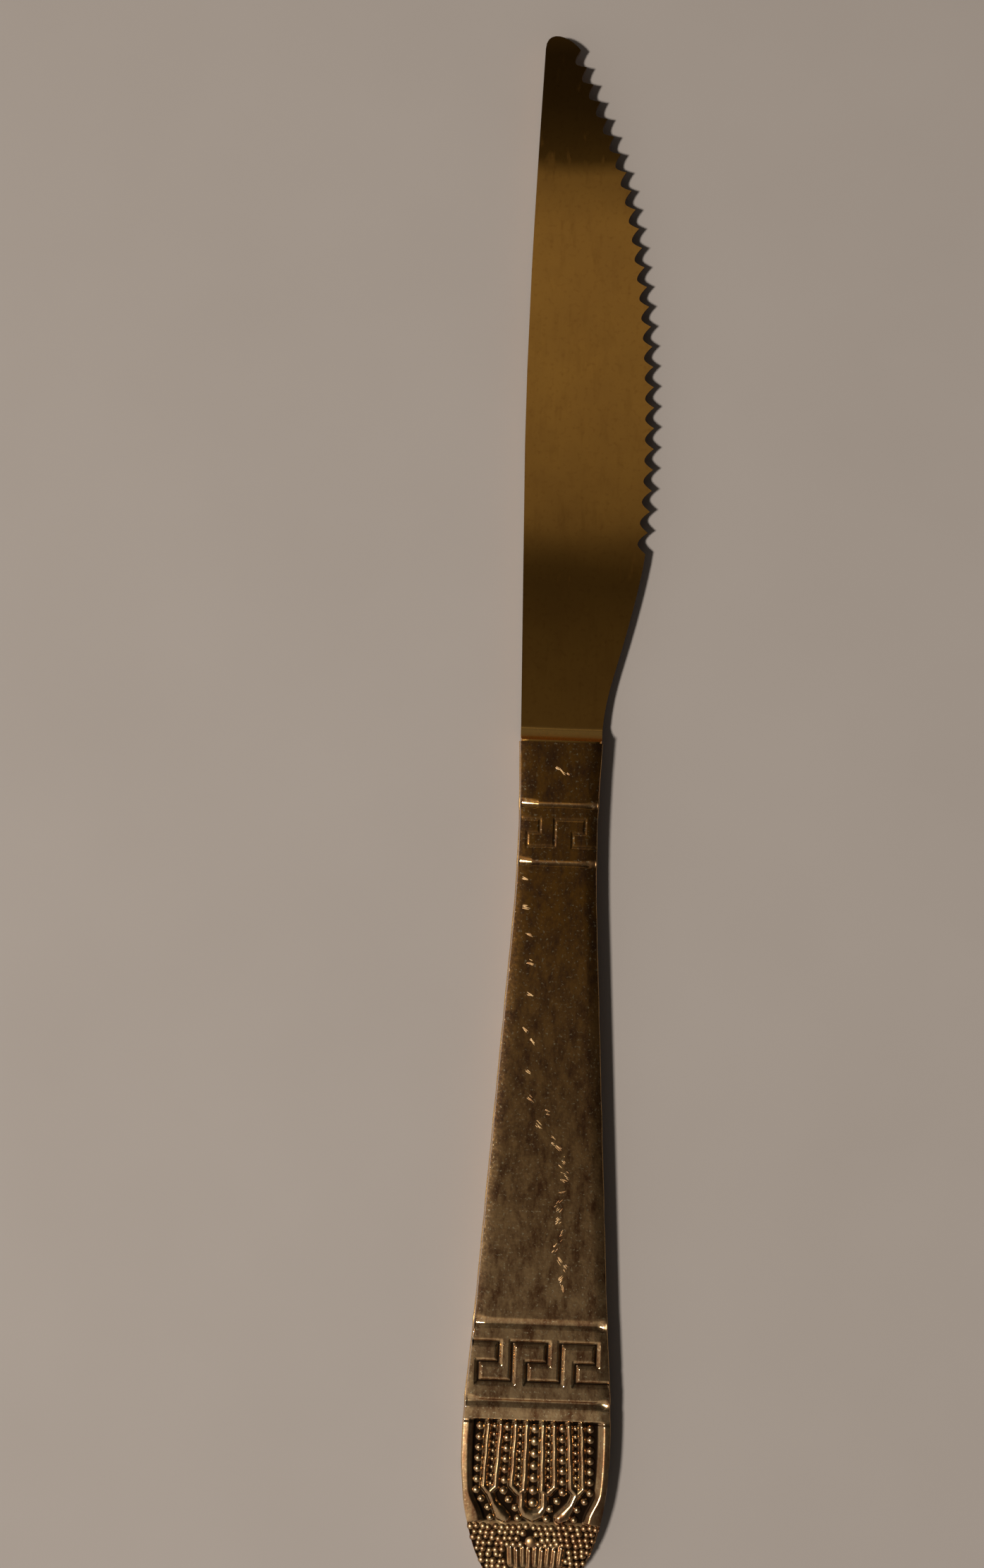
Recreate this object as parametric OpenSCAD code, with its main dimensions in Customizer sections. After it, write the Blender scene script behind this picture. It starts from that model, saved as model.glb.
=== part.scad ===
// Table knife with a serrated stamped blade and a hollow handle of two struck half shells.
// It lies on its back: +Y runs to the tip, +X to the cutting edge, +Z up from the table.
// The origin is on the table, under the middle of the handle's plain panel.
// Distances called d run from the blade's joint to the butt, and s from the joint to the tip.

/* [Blade] */
// Length of the blade from the joint to the tip
blade_len = 100.6; // [95:0.1:110]
// Thickness of the blade's plate
blade_t = 1.3; // [1:0.1:1.6]
// Reach of the cutting edge from the knife's axis at its widest
edge_reach = 11.7; // [10.5:0.1:13]
// Reach of the spine from the knife's axis at its widest
spine_reach = 6.75; // [6.2:0.05:7.5]
// Distance of the heel, where the teeth begin, from the joint
heel_s = 27.2; // [24:0.1:30]
// Number of gullets between the heel and the tip
gullet_count = 26; // [20:1:30]
// Radius at the bottom of a gullet
gullet_r = 0.5; // [0.3:0.05:0.6]
// Angle of a tooth's flanks from the edge's normal, in degrees
flank_angle = 43; // [40:1:46]
// Drop of the tip's corner, where the teeth end, below the tip
tip_drop = 2.1; // [1.6:0.1:2.8]

/* [Tang] */
// Width of the tang where it leaves the bolster
tang_w = 6; // [5:0.1:7]
// Width of the tang at its end
tang_end_w = 3.6; // [3:0.1:4.5]
// Thickness of the tang
tang_t = 2; // [1.4:0.1:2.4]
// Length of the tang inside the handle
tang_len = 46; // [30:1:60]

/* [Handle] */
// Length of the handle from the joint to the butt
handle_len = 121.5; // [118:0.5:126]
// Thickness of the handle between its two flat faces
handle_t = 5.6; // [5:0.1:7]
// Wall of a half shell
shell_wall = 0.9; // [0.8:0.05:1.1]
// Width of the squared shoulder between a flat face and the seam
shoulder_w = 1.2; // [1:0.1:1.6]
// Width at the neck, where the blade enters
neck_w = 11.8; // [11.4:0.1:12.4]
// Width at the waist
waist_w = 11.1; // [10.8:0.1:11.8]
// Width where the straight taper begins
taper_w = 11.95; // [11.6:0.05:12.6]
// Width where the straight taper ends
block_w = 18.6; // [17.8:0.1:19.2]
// Greatest width, near the butt
belly_w = 21; // [20:0.1:22]
// Width of the flat at the butt's end
butt_flat_w = 2; // [1.5:0.1:3]
// Thickness of the brazed seam between the half shells
seam_t = 0.2; // [0.1:0.05:0.3]
// How far the seam stands out of the shells
seam_proud = 0.12; // [0.05:0.01:0.25]

/* [Ornament] */
// Distance of the collar's cordon from the joint
collar_d = 8.5; // [8:0.1:9]
// Distance of the cordon below the upper key band
upper_key_d = 16.8; // [16.4:0.1:17.4]
// Distance of the cordon above the lower key band
lower_key_d = 82; // [81:0.1:82.6]
// Distance of the cordon below the lower key band
panel_cordon_d = 93.4; // [92.8:0.1:93.6]
// Half width of a cordon, where it swells the sides beside its groove
cordon_half_w = 0.35; // [0.3:0.05:0.45]
// How far a cordon swells the handle's sides
cordon_rise = 0.15; // [0.05:0.05:0.2]
// Width of the upper key's line
key_line_w = 0.5; // [0.4:0.05:0.6]
// Width of the lower key's line
lower_key_line_w = 0.7; // [0.5:0.05:0.8]
// Depth of the key lines
key_depth = 0.3; // [0.2:0.05:0.4]
// Width of one unit of the upper key
key_pitch = 6.4; // [6:0.1:6.8]
// Width of one unit of the lower key
lower_key_pitch = 6.9; // [6.4:0.1:7]
// Height of the upper key, between the middles of its lines
upper_key_h = 3.8; // [3.5:0.1:4.2]
// Height of the lower key, between the middles of its lines
lower_key_h = 5.5; // [5.2:0.1:6]
// Distance of the sunk panel's upper end from the joint
panel_d = 96.6; // [96.2:0.1:97]
// Distance of the sunk panel's lower end from the joint
panel_end_d = 110.6; // [110.2:0.1:111]
// Depth of the sunk panel
panel_depth = 0.5; // [0.4:0.05:0.6]
// Width of the panel's border
border_w = 1.7; // [1.6:0.1:1.9]
// Width of a rib in the panel
rib_w = 0.5; // [0.4:0.05:0.6]
// Radius of a bead in the side columns
bead_r = 0.48; // [0.4:0.02:0.5]
// Radius of a bead in the middle column
middle_bead_r = 0.6; // [0.5:0.02:0.62]
// Distance between the beads of a column
bead_pitch = 1.5; // [1.4:0.01:1.55]

/* [Hidden] */
$fn = 32;

// How far cutters run past what they cut
overrun = 1;
// Step by which the handle stands proud of the blade's bolster
joint_step = 0.1;
// Step by which the bolster stands proud of the blade's root
root_step = 0.05;
// Depth by which the bolster's coves run under the blade's faces
cove_sink = 0.06;
// Straight land between the joint and the coves
cove_land = 0.25;
// Clearance of the filler from the shells and the tang
fill_gap = 0.05;
// Shift of the gullets to the heel, which leans the teeth to the tip
tooth_lean = 0.2;
// Trim of the tooth points below the edge line
tooth_trim = 0.05;
// Longest step between two places on the handle's sides
station_step = 3.6;

shell_h = handle_t / 2 - seam_t / 2;
bolster_half_w = neck_w / 2 - joint_step;
bolster_half_t = handle_t / 2 - joint_step;
root_half_w = bolster_half_w - root_step;
cove_r = bolster_half_t - blade_t / 2 + cove_sink;
panel_mid_d = (upper_key_d + lower_key_d) / 2;

// Value at s of a smooth curve through knots of [position, value, slope]
function curve_at(knots, s) =
    let (
        i = max([for (j = [0:len(knots) - 2]) if (j == 0 || knots[j][0] <= s) j]),
        a = knots[i],
        b = knots[i + 1],
        span = b[0] - a[0],
        t = (s - a[0]) / span
    )
    (1 + 2 * t) * (1 - t) ^ 2 * a[1]
    + t ^ 2 * (3 - 2 * t) * b[1]
    + span * t * (1 - t) * ((1 - t) * a[2] - t * b[2]);

// Knots in shares of a run and a rise, placed from a start
function knots_from(shares, start, run, base, rise) =
    [for (p = shares) [start + p[0] * run, base + p[1] * rise, p[2] * rise / run]];

// Even steps from a to b, both included
function steps(a, b, count) = [for (i = [0:count]) a + (b - a) * i / count];

// Point on a cubic curve with four control points
function bezier_at(p, t) =
    p[0] * (1 - t) ^ 3 + p[1] * 3 * t * (1 - t) ^ 2 + p[2] * 3 * t ^ 2 * (1 - t) + p[3] * t ^ 3;

// Blade outline, as [x, s]

edge_shares = [
    [0, 0.944, 0.5],
    [0.18, 1, 0],
    [0.535, 0.844, -0.98],
    [0.76, 0.547, -2.03],
    [1, -0.065, -2.35]
];
spine_shares = [[0, 0, 2], [0.53, 1, 0], [1, 0, -3.2]];
choil_shares = [[0, 0, 0], [0.22, 0.1, 0.95], [0.54, 0.51, 1.27], [1, 1, 0.75]];
tip_shares = [[0, 0], [0.3, 0.9], [0.98, 1.45], [1, 0]];

tip_s = blade_len - tip_drop;
edge_knots = knots_from(edge_shares, heel_s, tip_s - heel_s, 0, edge_reach);
spine_knots = knots_from(spine_shares, 0, tip_s, root_half_w, spine_reach - root_half_w);
heel_x = curve_at(edge_knots, heel_s);
choil_knots = knots_from(choil_shares, 0, heel_s, root_half_w, heel_x - root_half_w);
tip_corner = [curve_at(edge_knots, tip_s), tip_s];
tip_spine = [-curve_at(spine_knots, tip_s), tip_s];
tip_controls = [
    for (p = tip_shares) tip_corner + [p[0] * (tip_spine[0] - tip_corner[0]), p[1] * tip_drop]
];

// Edge line from the heel to the tip's corner, with the length run so far
edge_line = [for (s = steps(heel_s, tip_s, 120)) [curve_at(edge_knots, s), s]];
edge_gaps = [for (i = [1:len(edge_line) - 1]) norm(edge_line[i] - edge_line[i - 1])];
function total(list, count) = count == 0 ? 0 : list[count - 1] + total(list, count - 1);
edge_runs = [for (i = [0:len(edge_gaps)]) total(edge_gaps, i)];
edge_x_table = [for (i = [0:len(edge_runs) - 1]) [edge_runs[i], edge_line[i][0]]];
edge_s_table = [for (i = [0:len(edge_runs) - 1]) [edge_runs[i], edge_line[i][1]]];
edge_run = edge_runs[len(edge_runs) - 1];
function on_edge(run) = [lookup(run, edge_x_table), lookup(run, edge_s_table)];

// Share by which the teeth are wider at the heel, and narrower at the tip, than their mean
pitch_drift_share = 0.08;
tooth_pitch = edge_run / gullet_count;
// Run along the edge to a place counted in teeth from the heel
function tooth_run(place) =
    let (t = place / gullet_count)
    edge_run * (t + pitch_drift_share * t * (1 - t));
gullet_depth = gullet_r * (1 - sin(flank_angle))
    + (tooth_pitch / 2 - gullet_r * cos(flank_angle)) / tan(flank_angle);

// Point of the edge at a run, pushed out along the edge's normal
function off_edge(run, out) =
    let (
        ahead = on_edge(min(run + tooth_pitch / 4, edge_run)) - on_edge(max(run - tooth_pitch / 4, 0)),
        normal = [ahead[1], -ahead[0]] / norm(ahead)
    )
    on_edge(run) + out * normal;

// Rounded bottom of one gullet, from its heel side to its tip side
function gullet_points(i) =
    let (
        run = tooth_run(i + 0.5) - tooth_lean,
        centre = gullet_r - gullet_depth - tooth_trim,
        turn = 90 - flank_angle
    )
    [
        for (a = steps(-turn, turn, 6))
            off_edge(run + gullet_r * sin(a), centre - gullet_r * cos(a))
    ];

toothed_edge = [
    for (i = [0:gullet_count - 1])
        each concat([off_edge(tooth_run(i), -tooth_trim)], gullet_points(i))
];

blade_outline = concat(
    [for (s = steps(0, tip_s, 28)) [-curve_at(spine_knots, s), s]],
    [for (t = steps(1, 0, 10)) if (t < 1 && t > 0) bezier_at(tip_controls, t)],
    [tip_corner],
    [for (i = [len(toothed_edge) - 1:-1:0]) toothed_edge[i]],
    [for (s = steps(heel_s, 0, 14)) if (s < heel_s) [curve_at(choil_knots, s), s]]
);

// Handle sides, as [half width, d, cordon swell]

// Distances from the joint at which the sides' widths are given
waist_d = 12.5;
taper_d = 26;
block_d = 80;
belly_d = 100;
neck_slope_share = -0.05;
butt_round_share = 0.87;
// Least land of the butt below the sunk panel, and the butt's end that leaves it
butt_land = 2;
butt_d = max(handle_len, panel_end_d + butt_land);
taper_slope = (block_w - taper_w) / 2 / (block_d - taper_d);
cordon_ds = [collar_d, upper_key_d, lower_key_d, panel_cordon_d];
handle_knots = [
    [0, neck_w / 2, neck_slope_share],
    [waist_d, waist_w / 2, 0],
    [taper_d, taper_w / 2, taper_slope],
    [block_d, block_w / 2, taper_slope],
    [belly_d, belly_w / 2, 0]
];

function swell_at(d) =
    cordon_rise * max([for (c = cordon_ds) max(0, 1 - ((d - c) / cordon_half_w) ^ 2)]);
function butt_at(a) = [
    butt_flat_w / 2 + (belly_w - butt_flat_w) / 2 * cos(a),
    belly_d + (butt_d - belly_d) * sin(a) ^ butt_round_share,
    0
];
// Half width of the handle at a distance before the greatest width, or past it
function half_w_at(d) =
    d < belly_d
    ? curve_at(handle_knots, d)
    : butt_at(asin(((d - belly_d) / (butt_d - belly_d)) ^ (1 / butt_round_share)))[0];
// Marks with every gap divided into even steps, the last mark left out
function divided(marks) = [
    for (i = [0:len(marks) - 2])
        let (count = ceil((marks[i + 1] - marks[i]) / station_step))
        for (k = [0:count - 1]) marks[i] + (marks[i + 1] - marks[i]) * k / count
];
cordon_marks = [for (c = cordon_ds) each steps(c - cordon_half_w, c + cordon_half_w, 4)];
body_ds = divided(concat([0], cordon_marks, [belly_d]));
sides = concat(
    [for (d = body_ds) [curve_at(handle_knots, d), d, swell_at(d)]],
    [for (a = steps(0, 90, 9)) butt_at(a)]
);
last_side = len(sides) - 1;

// Outward normal of the plain side at a place, square to the joint and the butt at its ends
function normal_at(i) =
    i == 0 ? [1, 0] : i == last_side ? [0, 1]
    : let (along = sides[i + 1] - sides[i - 1]) [along[1], -along[0]] / norm([along[0], along[1]]);

// Point on one side, drawn in by an inset
function side_point(i, hand, inset, z) =
    let (n = normal_at(i))
    [hand * (sides[i][0] + sides[i][2] - inset * n[0]), inset * n[1] - sides[i][1], z];

// Ring across the handle at a place, from layers of [inset, z]
function ring(i, layers) = concat(
    [for (k = [0:len(layers) - 1]) side_point(i, -1, layers[k][0], layers[k][1])],
    [for (k = [len(layers) - 1:-1:0]) side_point(i, 1, layers[k][0], layers[k][1])]
);

// Place on the shoulder at an angle up from the seam, in shares of its width and of its height
shoulder_power_share = 0.5;
function shoulder_at(a) =
    [1 - cos(a) ^ shoulder_power_share, sign(a) * abs(sin(a)) ^ shoulder_power_share];

// Layers from the seam up the squared shoulder to a flat top, drawn in by an inset
function shoulder_layers(inset, top) = [
    for (a = steps(0, 90, 5))
        let (p = shoulder_at(a))
        [inset + shoulder_w * p[0], top * p[1]]
];

// Closed skin over rings of equal length
module loft(rings) {
    n = len(rings[0]);
    last = (len(rings) - 1) * n;
    points = [for (r = rings) each r];
    walls = [
        for (i = [0:len(rings) - 2], j = [0:n - 1])
            let (a = i * n + j, b = i * n + (j + 1) % n)
            each [[a, b + n, a + n], [a, b, b + n]]
    ];
    ends = [
        for (j = [0:n / 2 - 2])
            let (k = n - 1 - j)
            each [[k, k - 1, j + 1, j], [last + j, last + j + 1, last + k - 1, last + k]]
    ];
    polyhedron(points, concat(walls, ends));
}

// Ornament of a shell's face

// Round groove struck across the face along a cordon
groove_r = 0.45;
groove_depth = 0.2;
// Key bands: units across, shift along the band, and drop below midway between the cordons
upper_key_units = 2;
upper_key_shift = -0.5;
upper_key_drop = 0.2;
lower_key_units = 3;
lower_key_shift = -0.4;
lower_key_drop = 0.1;
upper_key_mid_d = (collar_d + upper_key_d) / 2 + upper_key_drop;
lower_key_mid_d = (lower_key_d + panel_cordon_d) / 2 + lower_key_drop;
// One unit of each key, in shares of its pitch and its height
upper_key_shares = [[0, 0], [0, 1], [0.67, 1], [0.67, 0.49], [0.4, 0.49], [0.4, 0], [1, 0]];
lower_key_shares = [[0, 0], [0, 1], [0.72, 1], [0.72, 0.49], [0.31, 0.49], [0.31, 0], [1, 0]];
// Ribs of the panel: the places of the pairs that close in a U, their half gaps and their ends
outer_u_x = 5.8;
outer_half_gap = 0.9;
inner_u_x = 2.05;
inner_half_gap = 0.8;
u_end_d = 106.7;
middle_gap = 1.25;
middle_end_d = 110.2;
// Feet below the outer ribs, with their lean in degrees
foot_lean = 22;
foot_w = 1.1;
foot_len = 5.4;
// Bead columns: their places, and how many of the last beads step to the middle, and how far
outer_beads_x = 7.75;
inner_beads_x = 3.8;
tail_beads = 2;
tail_step = 0.5;
middle_pitch = 1.68;
// Gap above the first bead, and depth of a bead's root in the ground
bead_gap = 0.15;
bead_root = 0.1;
// Beads that find room in a side column, and in the middle one
side_beads = floor((panel_end_d - panel_d - bead_gap) / bead_pitch);
middle_room = middle_end_d - rib_w - middle_bead_r - panel_d - bead_gap;
middle_beads = floor(middle_room / middle_pitch);

// Space inside a half shell, run past the joint and past the rim
module cavity() {
    layers = shoulder_layers(shell_wall, shell_h - shell_wall);
    deep = concat([[shell_wall, -overrun]], layers);
    mouth = [for (p = ring(0, deep)) p + [0, overrun, 0]];
    loft(concat([mouth], [for (i = [1:last_side]) ring(i, deep)]));
}

// Round groove across the face, struck along a cordon
module cordon_groove(d) {
    translate([0, -d, shell_h + groove_r - groove_depth])
        rotate([0, 90, 0])
            cylinder(h = belly_w + overrun, r = groove_r, center = true);
}

// Square-ended line between two points, along or across
module key_stroke(a, b, line_w) {
    low = [min(a[0], b[0]), min(a[1], b[1])];
    high = [max(a[0], b[0]), max(a[1], b[1])];
    translate(low - [line_w / 2, line_w / 2])
        square(high - low + [line_w, line_w]);
}

// Greek key of one continuous line, from the lower left corner of its first unit
module key_line(shares, units, pitch, height, line_w) {
    corners = [for (p = shares) [p[0] * pitch, p[1] * height]];
    for (u = [0:units - 1], i = [0:len(corners) - 2])
        translate([u * pitch, 0])
            key_stroke(corners[i], corners[i + 1], line_w);
}

// The two keys of a face, each about the middle of its band
module keys() {
    translate([upper_key_shift - upper_key_units * key_pitch / 2, -upper_key_mid_d - upper_key_h / 2])
        key_line(upper_key_shares, upper_key_units, key_pitch, upper_key_h, key_line_w);
    translate([lower_key_shift - lower_key_units * lower_key_pitch / 2, -lower_key_mid_d - lower_key_h / 2])
        key_line(lower_key_shares, lower_key_units, lower_key_pitch, lower_key_h, lower_key_line_w);
}

// Bar with one round end, from y = 0 down to a reach
module tongue(half_w, reach) {
    translate([-half_w, half_w - reach])
        square([2 * half_w, reach - half_w]);
    translate([0, half_w - reach])
        circle(half_w);
}

// U of two stems and a round bend, hung from the panel's upper end
module u_rib(x, half_gap, end_d) {
    reach = end_d - panel_d + overrun;
    translate([x, overrun - panel_d])
        difference() {
            tongue(half_gap + rib_w / 2, reach);
            tongue(half_gap - rib_w / 2, reach - rib_w);
        }
}

// Foot that leans in from an outer U to the panel's lower end
module foot() {
    translate([outer_u_x, -u_end_d])
        rotate(-foot_lean)
            translate([-foot_w / 2, -foot_len])
                square([foot_w, foot_len + rib_w]);
}

// Sunk ground of the panel, less the ribs that stand in it
module panel_ground() {
    ds = steps(panel_d, panel_end_d, 8);
    right = [for (d = ds) [half_w_at(d) - border_w, -d]];
    difference() {
        polygon(concat(right, [for (i = [len(right) - 1:-1:0]) [-right[i][0], right[i][1]]]));
        u_rib(0, middle_gap, middle_end_d);
        for (hand = [0, 1])
            mirror([hand, 0]) {
                u_rib(outer_u_x, outer_half_gap, u_end_d);
                u_rib(inner_u_x, inner_half_gap, u_end_d);
                foot();
            }
    }
}

// Place of a bead of a side column, inside the border
function bead_x(x, i, d) =
    min(x - max(0, i - side_beads + tail_beads + 1) * tail_step, half_w_at(d) - border_w - bead_r);

// Beads of the panel, as whole balls whose tops are level with the face
module panel_balls() {
    for (i = [0:1:middle_beads - 1])
        translate([0, -panel_d - middle_bead_r - bead_gap - i * middle_pitch, shell_h - middle_bead_r])
            sphere(middle_bead_r);
    for (hand = [-1, 1], x = [outer_beads_x, inner_beads_x], i = [0:1:side_beads - 1]) {
        d = panel_d + bead_gap + bead_r + i * bead_pitch;
        translate([hand * bead_x(x, i, d), -d, shell_h - bead_r])
            sphere(bead_r);
    }
}

// Half shell with its face up and its rim at z = 0
module half_shell() {
    difference() {
        loft([for (i = [0:last_side]) ring(i, shoulder_layers(0, shell_h))]);
        cavity();
        for (d = cordon_ds)
            cordon_groove(d);
        translate([0, 0, shell_h - key_depth])
            linear_extrude(key_depth + overrun)
                keys();
        translate([0, 0, shell_h - panel_depth])
            linear_extrude(panel_depth + overrun)
                panel_ground();
    }
    intersection() {
        panel_balls();
        translate([-belly_w / 2, -butt_d, shell_h - panel_depth - bead_root])
            cube([belly_w, butt_d, panel_depth + bead_root]);
    }
}

// Tang with a round end, grown by a gap, from a start above the joint
module tang(gap, start) {
    half = tang_w / 2 + gap;
    half_end = tang_end_w / 2 + gap;
    end_y = half_end - tang_len - gap;
    linear_extrude(tang_t + 2 * gap, center = true)
        polygon(concat(
            [[-half, start], [-half, 0]],
            [for (a = steps(180, 360, 12)) [half_end * cos(a), end_y + half_end * sin(a)]],
            [[half, 0], [half, start]]
        ));
}

// Bolster of the handle's section, drawn in by coves to the blade's thickness
module bolster() {
    quarter = [
        for (a = steps(0, 90, 5))
            let (p = shoulder_at(a))
            [bolster_half_w - shoulder_w * p[0], bolster_half_t * p[1]]
    ];
    back = [for (i = [len(quarter) - 1:-1:0]) quarter[i]];
    length = cove_land + cove_r;
    difference() {
        rotate([-90, 0, 0])
            linear_extrude(length)
                polygon(concat(
                    quarter,
                    [for (p = back) [-p[0], p[1]]],
                    [for (p = quarter) [-p[0], -p[1]]],
                    [for (p = back) [p[0], -p[1]]]
                ));
        for (side = [-1, 1])
            translate([0, length, side * bolster_half_t])
                rotate([0, 90, 0])
                    cylinder(h = neck_w + overrun, r = cove_r, center = true);
    }
}

// Moves what is drawn from the joint and the seam to its place above the table
module placed() {
    translate([0, panel_mid_d, handle_t / 2])
        children();
}

module blade() {
    color("goldenrod")
        placed() {
            linear_extrude(blade_t, center = true)
                polygon(blade_outline);
            bolster();
            tang(0, cove_land);
        }
}

module front_shell() {
    color("darkgoldenrod")
        placed()
            translate([0, 0, seam_t / 2])
                half_shell();
}

module back_shell() {
    color("darkgoldenrod")
        placed()
            rotate([0, 180, 0])
                translate([0, 0, seam_t / 2])
                    half_shell();
}

module seam_braze() {
    places = [0:last_side];
    back = [last_side:-1:0];
    loop = concat(
        [for (i = places) side_point(i, -1, -seam_proud, 0)],
        [for (i = back) side_point(i, 1, -seam_proud, 0)],
        [for (i = places) side_point(i, 1, shell_wall, 0)],
        [for (i = back) side_point(i, -1, shell_wall, 0)]
    );
    color("khaki")
        placed()
            linear_extrude(seam_t, center = true)
                polygon([for (p = loop) [p[0], p[1]]]);
}

module handle_filler() {
    top = shell_h - shell_wall - fill_gap;
    layers = [
        for (a = steps(-90, 90, 10))
            let (p = shoulder_at(a))
            [shell_wall + fill_gap + shoulder_w * p[0], top * p[1] + sign(a) * seam_t / 2]
    ];
    mouth = [for (p = ring(0, layers)) p - [0, fill_gap, 0]];
    color("dimgray")
        placed()
            difference() {
                loft(concat([mouth], [for (i = [1:last_side]) ring(i, layers)]));
                tang(fill_gap, overrun);
            }
}

blade();
front_shell();
back_shell();
seam_braze();
handle_filler();
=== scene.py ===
# Table knife with a serrated gold-plated blade and a hollow handle of two struck half shells.
import math

import bmesh
import bpy
import numpy as np
from mathutils import Euler, Matrix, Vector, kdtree


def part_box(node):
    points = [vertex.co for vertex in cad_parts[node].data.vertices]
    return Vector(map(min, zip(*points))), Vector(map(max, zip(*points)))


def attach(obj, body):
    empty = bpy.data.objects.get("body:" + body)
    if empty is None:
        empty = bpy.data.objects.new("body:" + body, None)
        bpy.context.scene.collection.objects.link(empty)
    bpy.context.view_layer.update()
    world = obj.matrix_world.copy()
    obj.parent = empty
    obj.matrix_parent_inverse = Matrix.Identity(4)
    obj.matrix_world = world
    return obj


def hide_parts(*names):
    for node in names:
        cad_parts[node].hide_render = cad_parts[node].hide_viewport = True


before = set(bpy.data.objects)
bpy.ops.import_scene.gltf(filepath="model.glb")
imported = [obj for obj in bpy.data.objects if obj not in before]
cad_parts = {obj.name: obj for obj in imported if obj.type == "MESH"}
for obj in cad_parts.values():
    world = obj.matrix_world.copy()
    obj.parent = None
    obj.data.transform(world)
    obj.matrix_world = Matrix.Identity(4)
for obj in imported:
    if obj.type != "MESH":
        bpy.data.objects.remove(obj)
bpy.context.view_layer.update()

MM = 0.001
scene = bpy.context.scene

# Blade
# One stamped plate of stainless steel with a forged bolster and a tang that is cemented into the handle.
# It is gold plated and polished, and its stamped arrises are eased by tumbling.

plate_gold = "#E1A046"
plate_thin_gold = "#C2873E"
plate_stain = "#A86C2C"
cove_sheen_gold = "#F4CC7C"
arris_ease = 0.05
# Where along the knife the satin of the bolster's cove, with its painted sheen, begins and ends, each with
# its transition
cove_y = (49.2, 50.1, 50.9, 51.9)
cove_rough = 0.26
smooth_angle = math.radians(30)
# Faces over this area, in square millimetres, are shaded flat
flat_area = 20
# Corners nearer than this are one corner, and faces nearer to flush than this are one face
merge_gap = 0.001
flush_angle = math.radians(0.5)
# Least upward part of the normal of a face that looks up
upward = 0.9
# Gullets: turn of the outline at the points beside them, as a cross product, pitch and least depth
point_turn = 1
gullet_pitch = (1.5, 4)
gullet_depth = 0.5
# Scoops that round the gullets: how full they are at the bottom, how far they reach to the points,
# their steps, and their lowest and highest place
scoop_share = 0.37
scoop_reach = 0.985
scoop_steps = 10
scoop_z = (-1, 8)


def add_node(tree, kind, inputs=(), **settings):
    """Adds a node with its settings, and links or sets its inputs, given in order or by their sockets.

    A node that is given as an input stands for its first output.
    """
    node = tree.nodes.new(kind)
    for name, value in settings.items():
        setattr(node, name, value)
    for socket, value in inputs.items() if isinstance(inputs, dict) else enumerate(inputs):
        if isinstance(value, bpy.types.Node):
            value = value.outputs[0]
        if isinstance(value, bpy.types.NodeSocket):
            tree.links.new(value, node.inputs[socket])
        else:
            node.inputs[socket].default_value = value
    return node


def linear(hex_colour):
    """Linear colour with full alpha of an sRGB hex value."""
    parts = [int(hex_colour[i:i + 2], 16) / 255 for i in (1, 3, 5)]
    return [c / 12.92 if c <= 0.04045 else ((c + 0.055) / 1.055) ** 2.4 for c in parts] + [1.0]


def new_material(name):
    """Empty material, its tree, and Object coordinates in millimetres."""
    material = bpy.data.materials.new(name)
    material.use_nodes = True
    tree = material.node_tree
    tree.nodes.clear()
    place = add_node(tree, "ShaderNodeTexCoord").outputs["Object"]
    in_mm = add_node(tree, "ShaderNodeVectorMath", [place, (1 / MM,) * 3], operation="MULTIPLY")
    return material, tree, in_mm


def new_object(name, data):
    """Object of a mesh, a camera or a lamp, put in the scene."""
    thing = bpy.data.objects.new(name, data)
    scene.collection.objects.link(thing)
    return thing


def new_piece(name, mesh, slot, *nodes):
    """Adds an object of a finished mesh that rides on the one body and stands for CAD nodes."""
    piece = new_object(name, mesh)
    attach(piece, "root")
    if nodes:
        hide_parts(*nodes)


def applied_mesh(holder):
    """Mesh of an object with its modifiers applied, which takes the object's place."""
    mesh = bpy.data.meshes.new_from_object(holder.evaluated_get(bpy.context.evaluated_depsgraph_get()))
    holder.modifiers.clear()
    bpy.data.objects.remove(holder)
    return mesh


def merged_copy(mesh):
    """Work mesh of a copy with its doubles merged and its flush faces joined."""
    work = bmesh.new()
    work.from_mesh(mesh)
    bmesh.ops.remove_doubles(work, verts=work.verts, dist=merge_gap * MM)
    bmesh.ops.dissolve_limit(work, angle_limit=flush_angle, verts=work.verts, edges=work.edges)
    return work


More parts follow.
